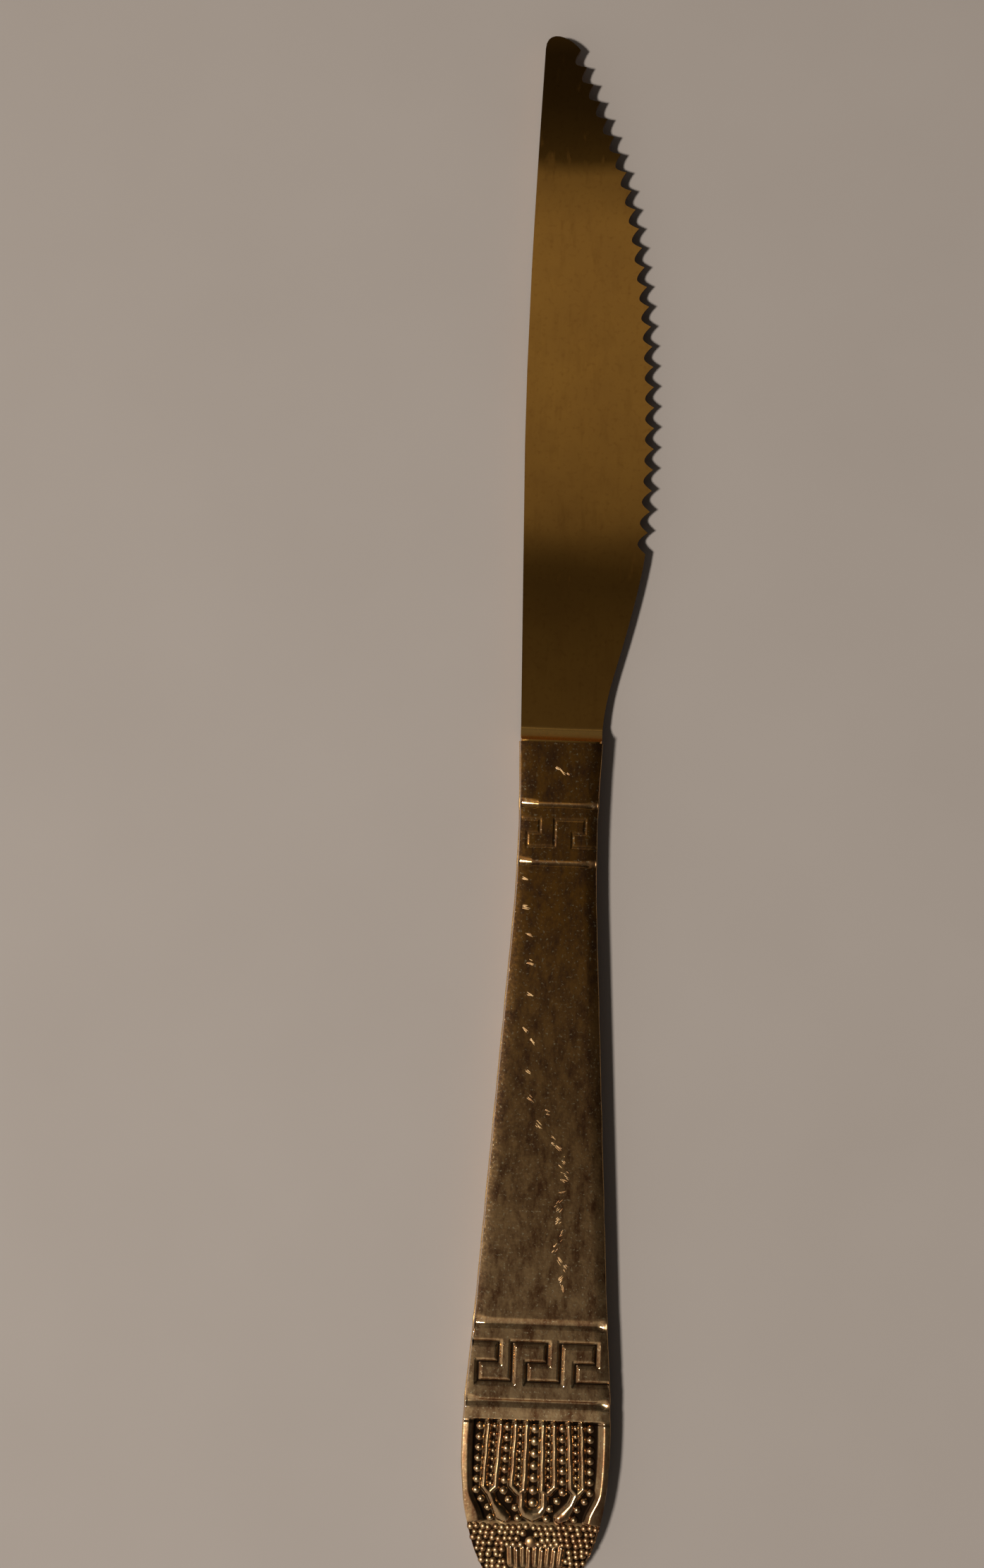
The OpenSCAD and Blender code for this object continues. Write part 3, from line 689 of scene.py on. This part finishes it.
def struck_gold():
    """Worn gold plate on struck brass: satin and mottled, bright on the ridges, and dark brown in the hollows
    with old polish and painted shade.
    """
    gold = "#BC7E30"
    pale_gold = "#D6AC78"
    tarnish = "#825632"
    worn = "#F0D2A0"
    rubbed_through = "#A8865A"
    old_polish_and_shade = "#120A05"
    # The mottling is drawn out along the knife, as it is held and wiped
    mottle_mm = 1.5
    mottle_draw = (1, 0.45, 1)
    grain_mm = 0.45
    speck_mm = 0.35
    # Where along the knife rubbing begins to pale the plate, and where it is palest
    rubbed_y = (25, -45)
    # Range of each pattern and mark that shows
    mottle_range = (0.4, 0.64)
    speck_range = (0.61, 0.76)
    hollow_range = (0.25, 0.8)
    grain_range = (0.3, 0.7)
    carved_fleck_share = 0.3
    # Roughness of the grain, and what carving and old polish add to it
    grain_rough = (0.075, 0.115)
    carved_rough = 0.11
    polish_rough = 0.3
    grain_height = 0.008
    pit_share = 0.35
    # Lacquer on plain and on carved places
    glaze_weight = (0.15, 0.5)
    glaze_rough = 0.16
    material, tree, place = new_material("struck_gold")
    hollow, carved = [
        add_node(tree, "ShaderNodeAttribute", attribute_name=mark).outputs["Fac"] for mark in struck_marks
    ]
    drawn = add_node(tree, "ShaderNodeVectorMath", [place, mottle_draw], operation="MULTIPLY")
    mottle = add_node(
        tree, "ShaderNodeTexNoise",
        {"Vector": drawn, "Scale": 1 / mottle_mm, "Detail": 6, "Roughness": 0.7},
    )
    grain = add_node(tree, "ShaderNodeTexNoise", {"Vector": place, "Scale": 1 / grain_mm, "Detail": 3})
    speck = add_node(tree, "ShaderNodeTexNoise", {"Vector": place, "Scale": 1 / speck_mm, "Detail": 2})
    along = add_node(tree, "ShaderNodeSeparateXYZ", [place]).outputs["Y"]
    rubbed = add_node(tree, "ShaderNodeMapRange", [along, *rubbed_y, 0, 1])
    patchy = add_node(tree, "ShaderNodeMapRange", [mottle, *mottle_range, 0, 1])
    specks = add_node(tree, "ShaderNodeMapRange", [speck, *speck_range, 0, 1])
    fewer = add_node(tree, "ShaderNodeMapRange", [carved, 0, 1, 1, carved_fleck_share])
    flecks = add_node(tree, "ShaderNodeMath", [specks, fewer], operation="MULTIPLY")
    # Hollows are darkened with old polish and with painted shade, where the hollows lie in shade
    deep = add_node(tree, "ShaderNodeMapRange", [hollow, *hollow_range, 0, 1])
    colour = linear(gold)
    layers = [
        (rubbed, pale_gold), (carved, rubbed_through), (patchy, tarnish), (flecks, worn), (deep, old_polish_and_shade),
    ]
    for share, over in layers:
        mixed = add_node(tree, "ShaderNodeMix", {0: share, 6: colour, 7: linear(over)}, data_type="RGBA")
        colour = mixed.outputs[2]
    rough = add_node(tree, "ShaderNodeMapRange", [grain, *grain_range, *grain_rough])
    satin = add_node(tree, "ShaderNodeMath", [carved, carved_rough, rough], operation="MULTIPLY_ADD")
    dull = add_node(tree, "ShaderNodeMath", [deep, polish_rough, satin], operation="MULTIPLY_ADD")
    pits = add_node(tree, "ShaderNodeMath", [specks, -pit_share, grain], operation="MULTIPLY_ADD")
    bump = add_node(tree, "ShaderNodeBump", {"Height": pits, "Distance": grain_height * MM})
    glaze = add_node(tree, "ShaderNodeMapRange", [carved, 0, 1, *glaze_weight])
    glaze = add_node(tree, "ShaderNodeMapRange", [deep, 0, 1, glaze, 0])
    metal = add_node(
        tree, "ShaderNodeBsdfPrincipled",
        {
            "Base Color": colour, "Metallic": 1.0, "Roughness": dull,
            "Normal": bump, "Coat Weight": glaze, "Coat Roughness": glaze_rough,
        },
    )
    add_node(tree, "ShaderNodeOutputMaterial", [metal])
    return material


face_up = Matrix.Translation((0, 0, rim_z * MM))
face_down = (
    Matrix.Translation((0, 0, seam_z * MM)) @ Matrix.Rotation(math.pi, 4, "Y")
    @ Matrix.Translation((0, 0, (rim_z - seam_z) * MM))
)
shell_sides = [("front", face_up), ("back", face_down)]
handle_gold = struck_gold()
for side, turn in shell_sides:
    mesh = shell_mesh(side + "_half_shell")
    mesh.transform(turn)
    mesh.materials.append(handle_gold)
    new_piece(side + "_half_shell", mesh, "handle_gold", side + "_shell")

# Beads and pearls
# Rows of small domes struck with the shells: columns of beads between the ribs, and a field of pearls
# on the butt round one large pearl. They are part of the same gilt brass.

bead_random = np.random.default_rng(11)
# Columns of one half of the panel, as place, lean to the side, first distance, pitch, count and radius
bead_columns = [(7.8, 0.03, 97.0, 1.5, 7, 0.63), (3.87, 0.035, 97.0, 1.5, 7, 0.67)]
seed_columns = [(5.7, 0.04, 96.9, 1.16, 8, 0.43), (2.02, 0.01, 96.9, 1.16, 8, 0.43)]
middle_column = (0, 0, 97.15, 1.74, 7, 0.74)
# Last beads of a column, as steps to the middle and to the butt from its last straight one, and their size
tail_steps = [(0.75, 1.25), (1.75, 2.4), (2.15, 3.85)]
tail_size_share = 0.95
# How high the domes stand, as shares of the depth of their ground, and how far they are rooted in it
bead_rise_share = 0.95
seed_rise_share = 0.75
large_rise_share = 1.15
dome_root = 0.05
# Height share of a dome below which its foot is darkened with painted shade and old polish
dome_shade_share = 0.3
large_pearl = (-0.3, 113.1, 0.92)
pearl_r = 0.48
pearl_pitch = 0.87
pearl_row_d = 111.1
pearl_row_step = 0.8
pearl_jitter = 0.08
# Room that the pearls leave at the sides, at the butt's end, round the large pearl as a share of their
# radius, and beside, above and below the tassels
side_room = 0.5
end_room = 0.3
large_room_share = 0.6
tassel_side_room = 0.1
tassel_top_room = 0.1
tassel_foot_room = 0.6
# What each seat carries for its dome
seat_marks = ("bead_size", "seat_normal", "bead_turn")


def column_beads(column):
    """Places and radii of a column of beads."""
    x, lean, first, pitch, count, radius = column
    return [(x + lean * i * pitch, first + i * pitch, radius) for i in range(count)]


def panel_beads():
    """Domes of the panel, as place, distance, radius, depth of the ground, and rise of their tops from it."""
    bead_rise = bead_rise_share * panel_depth
    seed_rise = seed_rise_share * panel_depth
    beads = [(*b, panel_depth, panel_depth) for b in column_beads(middle_column)]
    for hand in (-1, 1):
        for column in bead_columns:
            straight = column_beads(column)
            last_x, last_d, radius = straight[-1]
            tail = [(last_x - a, last_d + b, radius * tail_size_share) for a, b in tail_steps]
            beads += [(hand * x, d, r, panel_depth, bead_rise) for x, d, r in straight + tail]
        for column in seed_columns:
            beads += [(hand * x, d, r, panel_depth, seed_rise) for x, d, r in column_beads(column)]
    return [(x + panel_shift, *rest) for x, *rest in beads]


def by_large_pearl(x, d):
    """Whether a pearl there would touch the large one."""
    large_x, large_d, large_r = large_pearl
    return math.hypot(x - large_x, d - large_d) < large_r + large_room_share * pearl_r


def by_tassels(x, d):
    """Whether a pearl there would touch the tassels."""
    beside = abs(x - tassel_shift) < (tassel_count + tassel_side_room) / 2 * tassel_pitch
    return beside and -tassel_top_room < d - tassel_d < tassel_len + tassel_foot_room


def field_pearls():
    """Domes of the butt's field, in staggered rows that leave room for the large pearl and the tassels."""
    pearls = [(*large_pearl, field_depth, large_rise_share * field_depth)]
    row = 0
    while pearl_row_d + row * pearl_row_step < handle_len - end_room:
        d = pearl_row_d + row * pearl_row_step
        reach = float(half_width(d)) - side_room
        count = max(1, round(2 * reach / pearl_pitch))
        for i in range(count + 1 - row % 2):
            x = -reach + 2 * reach * (i + 0.5 * (row % 2)) / count
            off_x, off_d, grown = bead_random.normal(0, pearl_jitter, 3)
            if not by_large_pearl(x, d) and not by_tassels(x, d):
                size = 1 + grown
                pearls.append((x + off_x, d + off_d, pearl_r * size, field_depth, field_depth * size))
        row += 1
    return pearls


def bead_tree():
    """Node tree that sets a round bead on each point of a mesh, by its size, turn and normal."""
    tree = bpy.data.node_groups.new("beads_on_seats", "GeometryNodeTree")
    for name, kind in (("Seats", "Geometry"), ("Rounding", "Int"), ("Satin", "Float"), ("Metal", "Material")):
        tree.interface.new_socket(name, in_out="INPUT", socket_type="NodeSocket" + kind)
    tree.interface.new_socket("Beads", in_out="OUTPUT", socket_type="NodeSocketGeometry")
    given = add_node(tree, "NodeGroupInput")
    ball = add_node(
        tree, "GeometryNodeMeshIcoSphere", {"Radius": 1.0, "Subdivisions": given.outputs["Rounding"]}
    )
    place = add_node(tree, "GeometryNodeInputPosition")
    height = add_node(tree, "ShaderNodeSeparateXYZ", [place]).outputs["Z"]
    # The feet of the domes get the hollow mark: painted shade and old polish
    shade = add_node(tree, "ShaderNodeMapRange", [height, dome_shade_share, 0, 0, 1])
    bead = ball.outputs["Mesh"]
    for mark, value in zip(struck_marks, (shade, given.outputs["Satin"])):
        bead = add_node(
            tree, "GeometryNodeStoreNamedAttribute", {"Geometry": bead, "Name": mark, "Value": value},
            data_type="FLOAT", domain="POINT",
        )
    size, normal, turn = [
        add_node(tree, "GeometryNodeInputNamedAttribute", {"Name": mark}, data_type="FLOAT_VECTOR")
        for mark in seat_marks
    ]
    facing = add_node(
        tree, "FunctionNodeAlignRotationToVector", {"Rotation": turn, "Vector": normal}, axis="Z"
    )
    placed = add_node(
        tree, "GeometryNodeInstanceOnPoints",
        {"Points": given.outputs["Seats"], "Instance": bead, "Rotation": facing, "Scale": size},
    )
    real = add_node(tree, "GeometryNodeRealizeInstances", {"Geometry": placed})
    round_faces = add_node(tree, "GeometryNodeSetShadeSmooth", {"Geometry": real})
    metal = add_node(
        tree, "GeometryNodeSetMaterial",
        {"Geometry": round_faces, "Material": given.outputs["Metal"]},
    )
    add_node(tree, "NodeGroupOutput", [metal])
    return tree


def beads_mesh(name, seats, sizes, normals, turns, rounding, satin):
    """Plain mesh of beads set on seats by the node tree."""
    points = bpy.data.meshes.new(name + "_seats")
    points.from_pydata((seats * MM).tolist(), [], [])
    for mark, values in zip(seat_marks, (sizes * MM, normals, turns)):
        data = points.attributes.new(mark, "FLOAT_VECTOR", "POINT").data
        data.foreach_set("vector", np.asarray(values, np.float32).ravel())
    holder = new_object(name + "_seats", points)
    modifier = holder.modifiers.new("beads", "NODES")
    modifier.node_group = beads_on_seats
    sockets = {s.name: s.identifier for s in beads_on_seats.interface.items_tree if s.in_out == "INPUT"}
    modifier[sockets["Rounding"]] = rounding
    modifier[sockets["Satin"]] = satin
    modifier[sockets["Metal"]] = handle_gold
    mesh = applied_mesh(holder)
    mesh.name = name
    return mesh


beads_on_seats = bead_tree()
# Groups of domes, as name, what lists them, subdivisions that round them, and how satin they are
dome_groups = [("panel_beads", panel_beads, 3, 1.6), ("butt_pearls", field_pearls, 2, 2.6)]
for side, turn in shell_sides:
    for name, domes, rounding, satin in dome_groups:
        x, d, radius, depth, height = np.array(domes()).T
        seats, normals, _ = on_shell(x, d, rise=-depth - dome_root)
        sizes = np.stack([radius, radius, height + dome_root], 1)
        turns = np.zeros((len(x), 3))
        mesh = beads_mesh(side + "_" + name, seats, sizes, normals, turns, rounding, satin)
        mesh.transform(turn)
        new_piece(side + "_" + name, mesh, "handle_gold")

# Nicks
# Small raised burrs on the collar and across the plain panel of the front shell, where something hard
# skipped along it. Each is a group of short strokes, bright lips of the same gilt brass.

nick_size = (0.46, 0.085, 0.022)
nick_size_range = (0.5, 1.2)
nick_strokes = 5
nick_sunk = 0.01
nick_rounding = 2
nick_satin = 3.5
# Scatter of a group's strokes across and along the knife, and in their lean in degrees
nick_scatter = (0.2, 0.4, 9)
# Distances between which single nicks run together into a chain, and their shares of scatter and length
chain_d = (45, 58)
chain_scatter_shares = (0.3, 1)
chain_len_shares = (1.4, 1)
# Place and distance from the joint, lean in degrees and length share of each nick
nicks = [
    (0.2, 4.1, -48, 1.3), (-0.4, 3.7, -20, 0.6), (1.1, 4.6, -30, 0.5), (-4.4, 19.4, -8, 0.8),
    (-4.2, 23.4, -12, 1.0), (-3.5, 27.3, -18, 1.0), (-3.2, 31.3, -15, 1.0), (-3.1, 35.8, -20, 1.2),
    (-3.6, 40.8, -35, 0.9), (-2.6, 42.3, -45, 1.0), (-3.0, 46.8, -35, 0.9), (-2.5, 50.4, -35, 1.0),
    (-0.1, 52.3, -20, 0.7), (-1.3, 54.1, -50, 1.2), (0.9, 56.2, -35, 1.0), (1.8, 57.1, -45, 1.5),
    (2.3, 59.2, -40, 0.9), (2.8, 61.2, -25, 0.9), (2.5, 62.0, -30, 0.9), (2.3, 63.4, 20, 0.9),
    (1.8, 64.8, 40, 1.0), (2.0, 66.2, 50, 0.8), (2.0, 67.4, 45, 1.1), (2.2, 69.3, 55, 1.0),
    (1.7, 71.5, 60, 0.9), (2.5, 73.2, -50, 1.2), (3.1, 74.6, -60, 0.9), (2.6, 76.0, 50, 1.0),
    (3.0, 77.2, -65, 1.0),
]
nick_x, nick_d, nick_lean, nick_len = np.repeat(np.array(nicks), nick_strokes, axis=0).T
scatter = bead_random.normal(0, 1, (3, len(nick_x)))
apart = np.interp(nick_d, chain_d, chain_scatter_shares)
nick_x = nick_x + nick_scatter[0] * apart * scatter[0]
nick_d = nick_d + nick_scatter[1] * apart * scatter[1]
nick_lean = nick_lean + nick_scatter[2] * scatter[2]
seats, normals, _ = on_shell(nick_x, nick_d, rise=np.full(len(nick_x), -nick_sunk))
sizes = np.array(nick_size) * bead_random.uniform(*nick_size_range, (len(nick_x), 3))
sizes[:, 0] *= nick_len * np.interp(nick_d, chain_d, chain_len_shares)
turns = np.stack([np.zeros(len(nick_x))] * 2 + [np.radians(nick_lean)], 1)
mesh = beads_mesh("front_nicks", seats, sizes, normals, turns, nick_rounding, nick_satin)
mesh.transform(face_up)
new_piece("front_nicks", mesh, "handle_gold")

# Seam
# Line of hard solder between the rims of the two shells, run in, filed almost flush and gilt with them.
# It stands a little proud and is brighter than the shells because hands rub it.

seam_low, seam_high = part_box("seam_braze")
seam_t = (seam_high.z - seam_low.z) / MM
seam_proud = seam_high.x / MM - belly_half_w
seam_step = 0.4
# Half section of the seam, as shares of how proud it stands and of half its thickness
seam_shares = [(0.0, -1), (0.6, -0.5), (1.0, 0), (0.6, 0.5), (0.0, 1)]
# How much it wavers, as a share of how proud it stands, the turns of its quick and slow waver along the
# rim, and where the slow one starts
seam_waver_share = 0.25
quick_turn = 0.9
slow_turn = 0.23
slow_start = 1
seam_sharp = math.radians(60)


def seam_mesh():
    """Closed ribbon round the handle with a rounded outer edge."""
    run = np.concatenate([[0], np.cumsum(np.linalg.norm(np.diff(outline_points, axis=0), axis=1))])
    start = np.searchsorted(outline_points[:, 1], 0)
    marks = np.arange(run[start], run[-1], seam_step)
    index = np.searchsorted(run, marks)
    side, side_normal = outline_points[index], outline_normals[index]
    swell = np.zeros(len(side))
    for groove_d, *_ in grooves:
        bump = rim_swell * np.clip(1 - ((side[:, 1] - groove_d) / rim_swell_half_w) ** 2, 0, 1)
        swell = np.maximum(swell, bump)
    waver = np.sin(quick_turn * marks) * np.sin(slow_turn * marks + slow_start)
    proud = seam_proud * (1 - seam_waver_share + seam_waver_share * waver)
    places = []
    for hand, order in ((-1, slice(None)), (1, slice(None, None, -1))):
        for (x, d), (nx, nd), lift, bulge in list(zip(side, side_normal, swell, proud))[order]:
            d = max(d, 0)
            inner = (hand * (x - shell_wall * nx), joint_y - d + shell_wall * nd)
            outer = [
                (hand * (x + (lift + s * bulge) * nx), joint_y - d - (lift + s * bulge) * nd, h)
                for s, h in seam_shares[::-1]
            ]
            section = [(*inner, 1), *outer, (*inner, -1)]
            places += [(px, py, seam_z + h * seam_t / 2) for px, py, h in section]
    ring = len(seam_shares) + 2
    count = len(places) // ring
    faces = [
        (i * ring + j, (i + 1) * ring + j, (i + 1) * ring + (j + 1) % ring, i * ring + (j + 1) % ring)
        for i in range(count - 1) for j in range(ring)
    ]
    faces += [tuple(range(ring)), tuple(reversed(range((count - 1) * ring, count * ring)))]
    return closed_mesh("seam", np.array(places), faces, seam_sharp)


def filed_solder():
    """Gilt solder, filed along its length: bright, with fine file marks and darker spots where it pooled."""
    bright = "#DDB67C"
    dull = "#A87A44"
    pool_mm = 1.6
    # Real file marks are finer, so these are drawn as coarse as they need to be to show
    file_mm = 0.25
    file_depth = 0.01
    file_range, file_rough = (0.3, 0.7), (0.22, 0.36)
    material, tree, place = new_material("filed_solder")
    pool = add_node(tree, "ShaderNodeTexNoise", {"Vector": place, "Scale": 1 / pool_mm, "Detail": 3})
    marks = add_node(tree, "ShaderNodeTexNoise", {"Vector": place, "Scale": 1 / file_mm, "Detail": 2})
    colour = add_node(tree, "ShaderNodeMix", {0: pool, 6: linear(bright), 7: linear(dull)}, data_type="RGBA")
    rough = add_node(tree, "ShaderNodeMapRange", [marks, *file_range, *file_rough])
    bump = add_node(tree, "ShaderNodeBump", {"Height": marks, "Distance": file_depth * MM})
    metal = add_node(
        tree, "ShaderNodeBsdfPrincipled",
        {"Base Color": colour.outputs[2], "Metallic": 1.0, "Roughness": rough, "Normal": bump},
    )
    add_node(tree, "ShaderNodeOutputMaterial", [metal])
    return material


mesh = seam_mesh()
mesh.materials.append(filed_solder())
new_piece("handle_seam", mesh, "seam_gold", "seam_braze")

# Filling of the handle
# Grey cement run into the hollow handle round the tang. It is never seen, so the plain solid stays,
# with the look of set cement for anyone who opens the handle.


def set_cement():
    """Set filling compound: matt grey, with sand grains and pores."""
    grey = "#77726A"
    dark = "#4E4A44"
    grain_mm = 0.6
    pore_depth = 0.15
    cement_rough = 0.9
    material, tree, place = new_material("set_cement")
    grain = add_node(tree, "ShaderNodeTexNoise", {"Vector": place, "Scale": 1 / grain_mm, "Detail": 6})
    colour = add_node(tree, "ShaderNodeMix", {0: grain, 6: linear(grey), 7: linear(dark)}, data_type="RGBA")
    bump = add_node(tree, "ShaderNodeBump", {"Height": grain, "Distance": pore_depth * MM})
    stone = add_node(
        tree, "ShaderNodeBsdfPrincipled",
        {"Base Color": colour.outputs[2], "Roughness": cement_rough, "Normal": bump},
    )
    add_node(tree, "ShaderNodeOutputMaterial", [stone])
    return material


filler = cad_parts["handle_filler"]
filler.data.materials.clear()
filler.data.materials.append(set_cement())

# Table, light and camera
# A pale matt table top, a soft lamp high on the left and a dim room that is pale towards the horizon.
# The camera looks straight down, with the knife a little turned in the picture.

table_half = 2.0
table_colour = "#9A8E83"
table_spot_colour = "#94887D"
table_rough = 0.7
table_shine = 0.2


def pale_table():
    """Pale matt laminate: almost even, with a faint cloudiness."""
    cloud_mm = 30
    material, tree, place = new_material("pale_table")
    cloud = add_node(tree, "ShaderNodeTexNoise", {"Vector": place, "Scale": 1 / cloud_mm, "Detail": 4})
    colour = add_node(
        tree, "ShaderNodeMix",
        {0: cloud, 6: linear(table_colour), 7: linear(table_spot_colour)}, data_type="RGBA",
    )
    top = add_node(
        tree, "ShaderNodeBsdfPrincipled",
        {"Base Color": colour.outputs[2], "Roughness": table_rough, "Specular IOR Level": table_shine},
    )
    add_node(tree, "ShaderNodeOutputMaterial", [top])
    return material


table_mesh = bpy.data.meshes.new("table_top")
corners = [(x * table_half, y * table_half, 0) for x, y in ((-1, -1), (1, -1), (1, 1), (-1, 1))]
table_mesh.from_pydata(corners, [], [(0, 1, 2, 3)])
table_mesh.materials.append(pale_table())
table = new_object("table_top", table_mesh)

picture_w, picture_h = 1395, 2222
pixels_per_mm = 10
axis_turn = math.radians(2.07)
joint_pixel = (796, 1052)
view_z = 4.5
view_distance = 300
right = np.array([math.cos(axis_turn), math.sin(axis_turn)])
up = np.array([-math.sin(axis_turn), math.cos(axis_turn)])
middle = (
    np.array([0, joint_y])
    - right * (joint_pixel[0] - picture_w / 2) / pixels_per_mm
    + up * (joint_pixel[1] - picture_h / 2) / pixels_per_mm
)
camera_data = bpy.data.cameras.new("camera")
camera_data.sensor_fit = "VERTICAL"
camera_data.angle = 2 * math.atan(picture_h / pixels_per_mm / 2 / view_distance)
camera_data.clip_start = 0.01
camera = new_object("camera", camera_data)
camera.location = (middle[0] * MM, middle[1] * MM, (view_z + view_distance) * MM)
camera.rotation_euler = (0, 0, axis_turn)
scene.camera = camera

lamp_height = math.radians(66.6)
lamp_bearing = math.radians(180 + 19.6) + axis_turn
lamp_distance = 1.2
lamp_data = bpy.data.lights.new("soft_lamp", "AREA")
lamp_data.shape = "DISK"
lamp_data.size = 0.11
lamp_data.energy = 15.0
lamp = new_object("soft_lamp", lamp_data)
lamp.location = (
    lamp_distance * math.cos(lamp_height) * math.cos(lamp_bearing),
    lamp_distance * math.cos(lamp_height) * math.sin(lamp_bearing),
    lamp_distance * math.sin(lamp_height),
)
lamp.rotation_euler = Euler((0, math.pi / 2 - lamp_height, lamp_bearing))

# Brightness of the room overhead, by the slope of a line of sight along the knife
room_slopes = [
    (-0.9, 0.45), (-0.6, 0.36), (-0.3, 0.2), (-0.16, 0.1), (0.0, 0.078), (0.037, 0.076), (0.075, 0.058),
    (0.098, 0.044), (0.108, 0.062), (0.1135, 0.1), (0.1193, 0.106), (0.1203, 0.135), (0.132, 0.165),
    (0.145, 0.19), (0.18, 0.225), (0.24, 0.25), (0.264, 0.24), (0.277, 0.2), (0.291, 0.16),
    (0.2943, 0.155), (0.295, 0.05), (0.304, 0.036), (0.318, 0.022), (0.345, 0.017), (0.39, 0.08),
    (0.5, 0.1), (0.7, 0.11), (1.0, 0.11),
]
slope_reach = 1.0
# Share of that brightness, by the slope of a line of sight across the knife
room_sides = [
    (-0.5, 1.6), (-0.3, 1.5), (-0.2, 1.25), (-0.1, 1.02), (0.0, 1.0), (0.07, 0.95), (0.13, 0.55),
    (0.2, 0.4), (0.35, 0.25), (0.5, 0.2),
]
side_reach = 0.6
# Tops of the two ramps, and the least height of a line of sight that its slopes are worked out with
slope_top = 1
side_top = 3
least_sight_z = 0.05
# Brightness low in the room: its mean, how it grows along x and y, its least, and the heights of a line
# of sight between which it takes over
horizon_level = 0.3
horizon_lean = (-0.32, -0.2, 0)
horizon_least = 0.02
horizon_z = (0.8, 0.35)
# Share of the room's light that falls on matt surfaces
matt_share = 0.75


def set_stops(ramp, levels, reach, top):
    """Sets a ramp's stops from places within a reach and levels under a top."""
    stops = ramp.color_ramp.elements
    stops.remove(stops[1])
    for i, (place, level) in enumerate(levels):
        stop = stops.new((place + reach) / (2 * reach)) if i else stops[0]
        stop.position = (place + reach) / (2 * reach)
        stop.color = (level / top, level / top, level / top, 1)


world = bpy.data.worlds.new("room")
scene.world = world
world.use_nodes = True
tree = world.node_tree
tree.nodes.clear()
view_line = add_node(tree, "ShaderNodeTexCoord").outputs["Generated"]
sight = add_node(tree, "ShaderNodeSeparateXYZ", [view_line])
lifted = add_node(tree, "ShaderNodeMath", [sight.outputs["Z"], least_sight_z], operation="MAXIMUM")
ramps = []
slopes = [("Y", room_slopes, slope_reach, slope_top), ("X", room_sides, side_reach, side_top)]
for axis, levels, reach, top in slopes:
    slope = add_node(tree, "ShaderNodeMath", [sight.outputs[axis], lifted], operation="DIVIDE")
    share = add_node(tree, "ShaderNodeMapRange", [slope, -reach, reach, 0, 1])
    ramp = add_node(tree, "ShaderNodeValToRGB", [share])
    set_stops(ramp, levels, reach, top)
    ramps.append(ramp)
overhead = add_node(
    tree, "ShaderNodeMix", {0: 1.0, 6: ramps[0], 7: ramps[1]}, data_type="RGBA", blend_type="MULTIPLY"
)
overhead = add_node(
    tree, "ShaderNodeVectorMath", [overhead.outputs[2], (side_top,) * 3], operation="MULTIPLY"
)
aside = add_node(tree, "ShaderNodeVectorMath", [view_line, horizon_lean], operation="DOT_PRODUCT")
horizon = add_node(tree, "ShaderNodeMath", [aside.outputs["Value"], horizon_level], operation="ADD")
horizon = add_node(tree, "ShaderNodeMath", [horizon, horizon_least], operation="MAXIMUM")
low = add_node(
    tree, "ShaderNodeMapRange", [sight.outputs["Z"], *horizon_z, 0, 1], interpolation_type="SMOOTHSTEP"
)
room = add_node(tree, "ShaderNodeMix", {0: low, 6: overhead, 7: horizon}, data_type="RGBA")
on_matt = add_node(tree, "ShaderNodeLightPath").outputs["Is Diffuse Ray"]
strength = add_node(tree, "ShaderNodeMapRange", [on_matt, 0, 1, 1, matt_share])
glow = add_node(tree, "ShaderNodeBackground", {"Color": room.outputs[2], "Strength": strength})
add_node(tree, "ShaderNodeOutputWorld", {"Surface": glow})

scene.view_settings.view_transform = "Standard"
